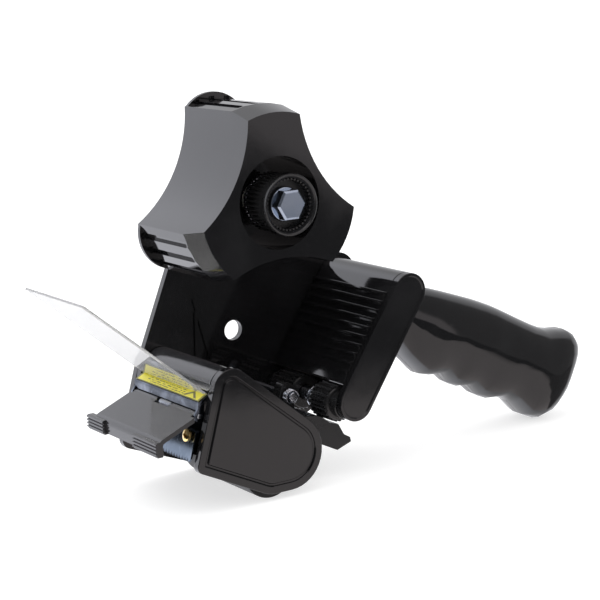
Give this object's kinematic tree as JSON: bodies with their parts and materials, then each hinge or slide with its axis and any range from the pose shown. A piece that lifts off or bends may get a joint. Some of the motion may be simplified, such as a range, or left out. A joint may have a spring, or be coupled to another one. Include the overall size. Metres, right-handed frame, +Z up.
{
  "type": "tape gun dispenser",
  "caption": "Black pistol-grip dispenser for carton sealing tape, with a lobed core hub, brake knob, ridged bridge, toothed cutter under a hinged guard and a clear wiper flap.",
  "frame": {"origin": "on the ground, below the middle of the gun's bounding box", "axes": "+X from the wiper flap back to the handle, +Y from the loading side to the side plate, +Z up"},
  "size_m": [0.2619, 0.068, 0.1599],
  "materials": {
    "gloss_black": "glossy moulded black",
    "grey_cover": "glossy dark grey",
    "satin_black": "satin moulded black",
    "rubber": "matt black rubber",
    "zinc": "bright zinc plate",
    "blade_steel": "ground steel",
    "brass": "bright brass",
    "label_yellow": "printed film",
    "clear_film": "clear flexible sheet",
    "nylon": "natural nylon"
  },
  "bodies": {
    "frame": {"side_plate": "gloss_black", "near_cheek": "gloss_black", "far_cheek": "gloss_black", "bridge_block": "gloss_black", "end_plate": "gloss_black", "handle_near": "gloss_black", "handle_far": "gloss_black", "top_cover": "grey_cover", "cheek_screw_1": "zinc", "cheek_screw_2": "zinc", "cheek_screw_3": "zinc", "bridge_screw_1": "zinc", "bridge_screw_2": "zinc", "handle_screw_1": "zinc", "handle_screw_2": "zinc", "handle_screw_3": "zinc", "blade_bracket": "zinc", "guide_plate": "zinc", "wiper_clamp": "zinc", "guard_pin": "zinc", "guard_spring": "zinc", "roller_axle": "zinc", "lever_pin": "zinc", "spindle_nut": "zinc", "cutting_blade": "blade_steel", "blade_screw_near": "brass", "blade_screw_far": "brass", "warning_label": "label_yellow", "wiper_root": "clear_film", "thrust_washer": "nylon"},
    "hub": {"core_hub": "gloss_black", "hub_bush": "nylon"},
    "brake_stack": {"brake_washer": "zinc", "brake_spring": "zinc"},
    "knob": {"brake_knob": "satin_black", "tension_bolt": "zinc"},
    "application_roller": {"roller_core": "satin_black", "roller_sleeve": "rubber"},
    "guide_roller": {"guide_shaft": "zinc", "guide_spring": "zinc", "guide_sleeve_near": "satin_black", "guide_sleeve_far": "satin_black"},
    "guard": {"blade_guard": "satin_black"},
    "lever": {"tension_lever": "satin_black", "lever_rod": "zinc", "lever_spring": "zinc"},
    "flap": {"wiper_flap": "clear_film"}
  },
  "joints": [
    {"name": "hub_spin", "type": "hinge", "parent": "frame", "child": "hub", "pos_m": [-0.044, 0, 0.1184], "axis": [0, 1, 0], "continuous": true},
    {"name": "brake_travel", "type": "slide", "parent": "frame", "child": "brake_stack", "axis": [0, 1, 0], "range_m": [-0.00098, 0.00098]},
    {"name": "knob_turn", "type": "hinge", "parent": "brake_stack", "child": "knob", "pos_m": [-0.044, 0, 0.1184], "axis": [0, 1, 0], "range_deg": [-285, 285]},
    {"name": "roller_spin", "type": "hinge", "parent": "frame", "child": "application_roller", "pos_m": [-0.054, 0, 0.012], "axis": [0, 1, 0], "continuous": true},
    {"name": "guide_spin", "type": "hinge", "parent": "frame", "child": "guide_roller", "pos_m": [-0.0165, 0, 0.0315], "axis": [0, 1, 0], "continuous": true},
    {"name": "guard_lift", "type": "hinge", "parent": "frame", "child": "guard", "pos_m": [-0.0858, 0, 0.0396], "axis": [0, 1, 0], "range_deg": [0, 40], "stiffness_Nm_per_rad": 0.01, "springref_deg": -28.65},
    {"name": "lever_press", "type": "hinge", "parent": "frame", "child": "lever", "pos_m": [-0.0385, 0, 0.024], "axis": [0, 1, 0], "range_deg": [0, 10], "stiffness_Nm_per_rad": 0.2, "springref_deg": -17.19},
    {"name": "flap_bend", "type": "hinge", "parent": "frame", "child": "flap", "pos_m": [-0.0821, 0, 0.0483], "axis": [0, 1, 0], "range_deg": [-20, 15], "stiffness_Nm_per_rad": 0.1}
  ],
  "couplings": [
    {"joint": "knob_turn", "follows": "brake_travel", "rad_per_m": 5026.5}
  ]
}
